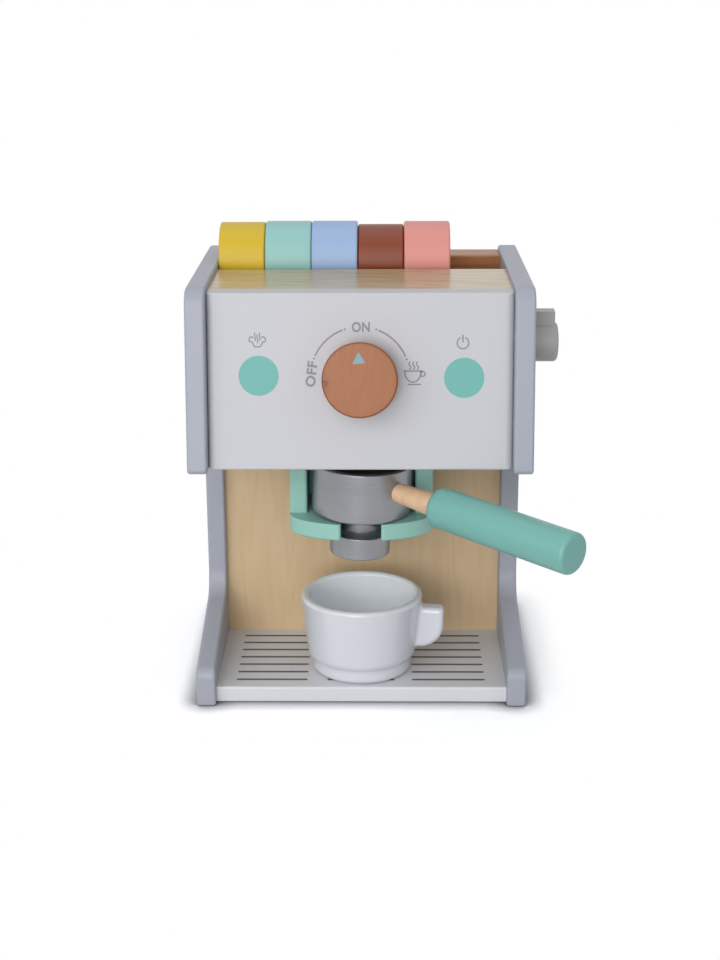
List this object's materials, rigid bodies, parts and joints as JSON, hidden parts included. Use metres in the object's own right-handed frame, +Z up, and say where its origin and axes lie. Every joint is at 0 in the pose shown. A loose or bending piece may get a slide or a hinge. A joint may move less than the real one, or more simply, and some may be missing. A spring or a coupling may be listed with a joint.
{
  "type": "toy coffee maker",
  "caption": "Wooden toy coffee maker with a beech dial, side steam knob, handled portafilter in a fork, coloured capsules in a top tray, and a cup on its base",
  "frame": {"origin": "centre of the underside of the case, on the floor plane", "axes": "X to the right seen from the front, Y from front to back, Z up"},
  "size_m": [0.2031, 0.2242, 0.251],
  "materials": {
    "painted_board": "satin",
    "painted_white": "satin",
    "bare_wood": "satin",
    "bare_ply": "satin",
    "beech": "satin",
    "painted_green": "satin",
    "painted_grey": "satin",
    "painted_silver": "satin",
    "painted_mint": "satin",
    "painted_yellow": "satin",
    "painted_pale_mint": "satin",
    "painted_blue": "satin",
    "painted_brown": "satin",
    "painted_pink": "satin",
    "painted_dark": "satin",
    "zinc_screw": "satin",
    "steel_pin": "satin",
    "nylon": "matte"
  },
  "bodies": {
    "case": {"left_side_panel": "painted_board", "right_side_panel": "painted_board", "base_board": "painted_board", "back_panel": "bare_ply", "front_panel": "painted_board", "top_board": "bare_wood", "tray_front_batten": "bare_wood", "tray_floor": "bare_ply", "rear_rail": "bare_wood", "head_floor": "bare_ply", "rear_cover": "bare_ply", "rear_cover_screws": "zinc_screw", "carcass_dowels": "beech", "bracket_left_wall": "painted_green", "bracket_right_wall": "painted_green", "bracket_back": "painted_green", "bracket_fork": "painted_green", "bracket_screws": "zinc_screw"},
    "dial": {"dial_knob": "beech", "dial_shaft": "beech", "dial_stop_pin": "steel_pin", "dial_washer": "nylon", "dial_screw": "zinc_screw"},
    "steam_valve": {"steam_knob": "painted_grey", "steam_shaft": "beech", "steam_washer": "nylon", "steam_screw": "zinc_screw"},
    "basket_capsule": {"capsule_in_basket": "painted_dark"},
    "portafilter": {"filter_basket": "painted_silver", "filter_spout": "painted_silver", "filter_screw": "zinc_screw", "handle_dowel": "beech", "handle_grip": "painted_mint"},
    "yellow_capsule": {"capsule_yellow": "painted_yellow"},
    "mint_capsule": {"capsule_mint": "painted_pale_mint"},
    "blue_capsule": {"capsule_blue": "painted_blue"},
    "brown_capsule": {"capsule_brown": "painted_brown"},
    "pink_capsule": {"capsule_pink": "painted_pink"},
    "loose_cup": {"cup": "painted_white"}
  },
  "joints": [
    {"name": "dial_turn", "type": "hinge", "parent": "case", "child": "dial", "pos_m": [0, -0.06604, 0.1849], "axis": [0, -0.9903, 0.1392], "range_deg": [-90, 90]},
    {"name": "steam_turn", "type": "hinge", "parent": "case", "child": "steam_valve", "pos_m": [0.0905, -0.029, 0.1953], "axis": [1, 0, 0], "continuous": true},
    {"name": "filter_pull", "type": "slide", "parent": "case", "child": "basket_capsule", "axis": [0, -1, 0], "range_m": [0, 0.1]},
    {"name": "filter_swivel", "type": "hinge", "parent": "basket_capsule", "child": "portafilter", "pos_m": [0, -0.0382, 0.12], "axis": [0, 0, 1], "range_deg": [-112, 18]},
    {"name": "yellow_lift", "type": "slide", "parent": "case", "child": "yellow_capsule", "axis": [0, 0, 1], "range_m": [0, 0.05]},
    {"name": "mint_lift", "type": "slide", "parent": "case", "child": "mint_capsule", "axis": [0, 0, 1], "range_m": [0, 0.05]},
    {"name": "blue_lift", "type": "slide", "parent": "case", "child": "blue_capsule", "axis": [0, 0, 1], "range_m": [0, 0.05]},
    {"name": "brown_lift", "type": "slide", "parent": "case", "child": "brown_capsule", "axis": [0, 0, 1], "range_m": [0, 0.05]},
    {"name": "pink_lift", "type": "slide", "parent": "case", "child": "pink_capsule", "axis": [0, 0, 1], "range_m": [0, 0.05]},
    {"name": "cup_out", "type": "slide", "parent": "case", "child": "loose_cup", "axis": [0, -1, 0], "range_m": [0, 0.12]}
  ]
}
